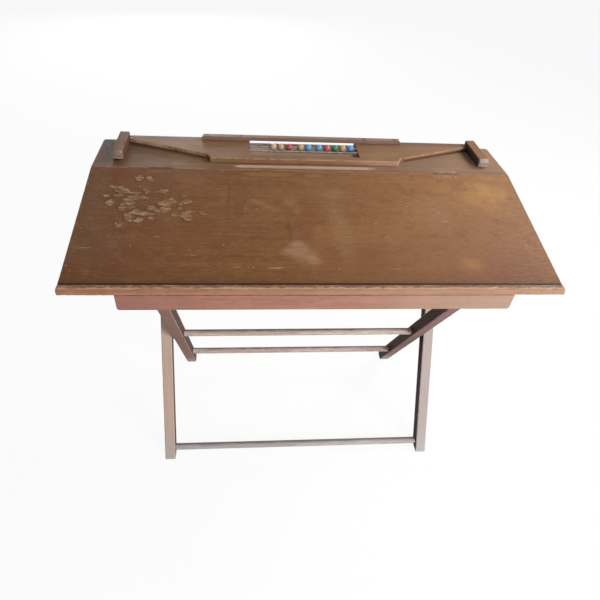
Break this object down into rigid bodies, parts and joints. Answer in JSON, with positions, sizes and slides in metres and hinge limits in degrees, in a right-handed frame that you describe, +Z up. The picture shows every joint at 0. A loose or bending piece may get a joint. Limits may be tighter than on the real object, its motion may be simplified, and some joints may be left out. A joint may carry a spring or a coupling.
{
  "type": "school desk with lift lid",
  "caption": "Small wooden school desk: sloping lift-up lid over a shallow box, level ledge with pen groove and sliding counting beads, on crossed legs that fold flat.",
  "frame": {"origin": "on the floor, under the middle of the desk top", "axes": "+X along the desk to the sitter's right, +Y from the sitter to the back, +Z up"},
  "size_m": [0.7, 0.356, 0.5095],
  "materials": {
    "stained_wood": "worn dark stain, satin",
    "case_wood": "worn stain, matt",
    "panel_wood": "thin unfinished board, matt",
    "leg_wood": "greyed bare wood, matt",
    "rung_wood": "greyed bare dowel, matt",
    "dark_iron": "dark, dull",
    "screw_steel": "dull steel",
    "rod_steel": "dull steel wire",
    "bead_natural": "pale bare wood",
    "bead_cream": "cream lacquer",
    "bead_red": "red lacquer",
    "bead_blue": "light blue lacquer",
    "bead_pink": "pinkish red lacquer",
    "bead_green": "green lacquer"
  },
  "bodies": {
    "carcase": {"bottom_panel": "panel_wood", "front_rail": "case_wood", "back_rail": "case_wood", "side_rail_left": "case_wood", "side_rail_right": "case_wood", "corner_blocks": "case_wood", "rear_ledge": "stained_wood", "hinge_ledge_leaf_left": "dark_iron", "hinge_ledge_leaf_right": "dark_iron", "hinge_ledge_screws": "screw_steel", "hinge_pin_left": "dark_iron", "hinge_pin_right": "dark_iron", "gallery_board": "stained_wood", "gallery_strip": "stained_wood", "gallery_nails": "dark_iron", "bracket_left": "stained_wood", "bracket_right": "stained_wood", "bead_rod": "rod_steel", "spare_rod": "rod_steel", "pivot_rail": "case_wood", "pivot_screws": "screw_steel", "pivot_washers": "screw_steel", "rear_rest_left": "case_wood", "rear_rest_right": "case_wood"},
    "lid": {"writing_lid": "stained_wood", "lid_front_lip": "stained_wood", "lid_batten_left": "case_wood", "lid_batten_right": "case_wood", "hinge_lid_leaf_left": "dark_iron", "hinge_lid_leaf_right": "dark_iron", "hinge_lid_screws": "screw_steel"},
    "inner_frame": {"inner_leg_left": "leg_wood", "inner_leg_right": "leg_wood", "inner_foot_rung": "rung_wood", "cross_pivot_rung": "rung_wood"},
    "outer_frame": {"outer_leg_left": "leg_wood", "outer_leg_right": "leg_wood", "outer_foot_rung": "rung_wood", "outer_top_rung": "rung_wood", "cross_washers": "screw_steel"},
    "bead_01": {"bead_01": "bead_natural"},
    "bead_02": {"bead_02": "bead_cream"},
    "bead_03": {"bead_03": "bead_red"},
    "bead_04": {"bead_04": "bead_cream"},
    "bead_05": {"bead_05": "bead_blue"},
    "bead_06": {"bead_06": "bead_blue"},
    "bead_07": {"bead_07": "bead_pink"},
    "bead_08": {"bead_08": "bead_green"},
    "bead_09": {"bead_09": "bead_cream"},
    "bead_10": {"bead_10": "bead_blue"}
  },
  "joints": [
    {"name": "lid_hinge", "type": "hinge", "parent": "carcase", "child": "lid", "pos_m": [0, 0.074, 0.4945], "axis": [-1, 0, 0], "range_deg": [0, 160]},
    {"name": "inner_fold", "type": "hinge", "parent": "carcase", "child": "inner_frame", "pos_m": [0, -0.1354, 0.40135], "axis": [1, 0, 0], "range_deg": [0, 55]},
    {"name": "cross_pivot", "type": "hinge", "parent": "inner_frame", "child": "outer_frame", "pos_m": [0, -0.0215, 0.21], "axis": [1, 0, 0], "range_deg": [-112.75, 0]},
    {"name": "bead_01_slide", "type": "slide", "parent": "carcase", "child": "bead_01", "axis": [1, 0, 0], "range_m": [-0.034, 0.0042]},
    {"name": "bead_02_slide", "type": "slide", "parent": "carcase", "child": "bead_02", "axis": [1, 0, 0], "range_m": [-0.034, 0.0042]},
    {"name": "bead_03_slide", "type": "slide", "parent": "carcase", "child": "bead_03", "axis": [1, 0, 0], "range_m": [-0.034, 0.0042]},
    {"name": "bead_04_slide", "type": "slide", "parent": "carcase", "child": "bead_04", "axis": [1, 0, 0], "range_m": [-0.0042, 0.0032]},
    {"name": "bead_05_slide", "type": "slide", "parent": "carcase", "child": "bead_05", "axis": [1, 0, 0], "range_m": [-0.0042, 0.0032]},
    {"name": "bead_06_slide", "type": "slide", "parent": "carcase", "child": "bead_06", "axis": [1, 0, 0], "range_m": [-0.0032, 0.005]},
    {"name": "bead_07_slide", "type": "slide", "parent": "carcase", "child": "bead_07", "axis": [1, 0, 0], "range_m": [-0.0032, 0.005]},
    {"name": "bead_08_slide", "type": "slide", "parent": "carcase", "child": "bead_08", "axis": [1, 0, 0], "range_m": [-0.0032, 0.005]},
    {"name": "bead_09_slide", "type": "slide", "parent": "carcase", "child": "bead_09", "axis": [1, 0, 0], "range_m": [-0.0032, 0.005]},
    {"name": "bead_10_slide", "type": "slide", "parent": "carcase", "child": "bead_10", "axis": [1, 0, 0], "range_m": [-0.0032, 0.005]}
  ],
  "couplings": [
    {"joint": "cross_pivot", "follows": "inner_fold", "ratio": -2.05},
    {"joint": "bead_02_slide", "follows": "bead_01_slide", "ratio": 1},
    {"joint": "bead_03_slide", "follows": "bead_01_slide", "ratio": 1},
    {"joint": "bead_05_slide", "follows": "bead_04_slide", "ratio": 1},
    {"joint": "bead_07_slide", "follows": "bead_06_slide", "ratio": 1},
    {"joint": "bead_08_slide", "follows": "bead_06_slide", "ratio": 1},
    {"joint": "bead_09_slide", "follows": "bead_06_slide", "ratio": 1},
    {"joint": "bead_10_slide", "follows": "bead_06_slide", "ratio": 1}
  ]
}
